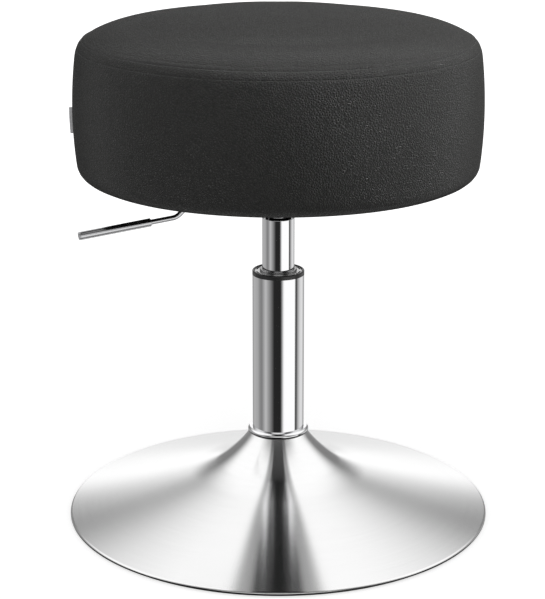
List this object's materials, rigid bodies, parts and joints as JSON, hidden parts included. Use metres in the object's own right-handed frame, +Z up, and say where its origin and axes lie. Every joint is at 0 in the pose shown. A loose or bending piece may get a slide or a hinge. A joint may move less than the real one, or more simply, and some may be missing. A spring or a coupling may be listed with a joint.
{
  "type": "adjustable swivel stool",
  "caption": "Round padded leather swivel stool on a chrome gas-lift column with a spun trumpet base and a side release lever.",
  "frame": {"origin": "on the floor at the centre of the round base", "axes": "+Z up along the column; the lever points to -X, turned 18 degrees towards -Y"},
  "size_m": [0.411, 0.411, 0.4917],
  "materials": {
    "brushed_dish": "fine satin brushed steel with a clear coat",
    "chrome_column": "bright chrome plate",
    "chrome_trim": "bright chrome plate",
    "chrome_lever": "bright chrome plate",
    "black_rubber": "matt black rubber",
    "black_steel": "black powder coat",
    "zinc_steel": "bright zinc plate",
    "black_screw": "black oxide",
    "bearing_steel": "ground and polished steel",
    "brass_cage": "stamped brass",
    "black_plastic": "black satin moulding",
    "grey_plastic": "dark grey moulding",
    "black_gloss_plastic": "glossy black moulding",
    "plywood": "raw birch plywood",
    "seat_foam": "cut polyurethane foam",
    "black_leather": "pebbled faux leather, satin",
    "black_cloth": "non-woven dust cloth",
    "tag_weave": "blank woven satin tag"
  },
  "bodies": {
    "base": {"base_shell": "brushed_dish", "floor_ring": "black_rubber", "stiffener_plate": "black_steel", "stand_tube": "chrome_column", "foot_plate": "zinc_steel", "column_screws": "black_screw", "column_washers": "zinc_steel", "trim_ring": "chrome_trim", "collar": "black_plastic", "guide_sleeve": "grey_plastic", "wiper_ring": "black_gloss_plastic", "lower_race": "bearing_steel"},
    "bearing_cage": {"ball_cage": "brass_cage", "bearing_balls": "bearing_steel"},
    "rod": {"upper_race": "bearing_steel", "bump_stop": "black_rubber", "piston_rod": "bearing_steel", "piston": "zinc_steel", "piston_ring": "black_rubber", "clip_washer": "zinc_steel", "retaining_clip": "black_screw"},
    "seat": {"pressure_tube": "chrome_column", "rod_guide": "zinc_steel", "rod_seal": "black_rubber", "valve_block": "zinc_steel", "taper_bush": "black_steel", "seat_plate": "black_steel", "lever_bracket": "black_steel", "pivot_pin": "zinc_steel", "pin_clip": "zinc_steel", "plate_bolts": "zinc_steel", "plate_washers": "zinc_steel", "tee_nuts": "zinc_steel", "seat_board": "plywood", "foam_block": "seat_foam", "top_panel": "black_leather", "side_band": "black_leather", "dust_cloth": "black_cloth", "side_tag": "tag_weave"},
    "lever": {"lever_rod": "chrome_lever", "lever_barrel": "black_steel", "handle_sleeve": "chrome_lever", "handle_cap": "chrome_lever"},
    "release": {"release_pin": "bearing_steel"}
  },
  "joints": [
    {"name": "seat_swivel", "type": "hinge", "parent": "base", "child": "rod", "pos_m": [0, 0, 0.0287], "axis": [0, 0, 1], "continuous": true},
    {"name": "cage_roll", "type": "hinge", "parent": "base", "child": "bearing_cage", "pos_m": [0, 0, 0.0266], "axis": [0, 0, 1], "continuous": true},
    {"name": "seat_lift", "type": "slide", "parent": "rod", "child": "seat", "axis": [0, 0, 1], "range_m": [-0.05, 0.07]},
    {"name": "lever_raise", "type": "hinge", "parent": "seat", "child": "lever", "pos_m": [-0.038, -0.01249, 0.3257], "axis": [-0.3123, 0.95, 0], "range_deg": [0, 5], "stiffness_Nm_per_rad": 1.5, "springref_deg": -5.73},
    {"name": "valve_press", "type": "slide", "parent": "seat", "child": "release", "axis": [0, 0, -1], "range_m": [0, 0.0036]}
  ],
  "couplings": [
    {"joint": "cage_roll", "follows": "seat_swivel", "ratio": 0.5},
    {"joint": "valve_press", "follows": "lever_raise", "m_per_rad": 0.04}
  ]
}
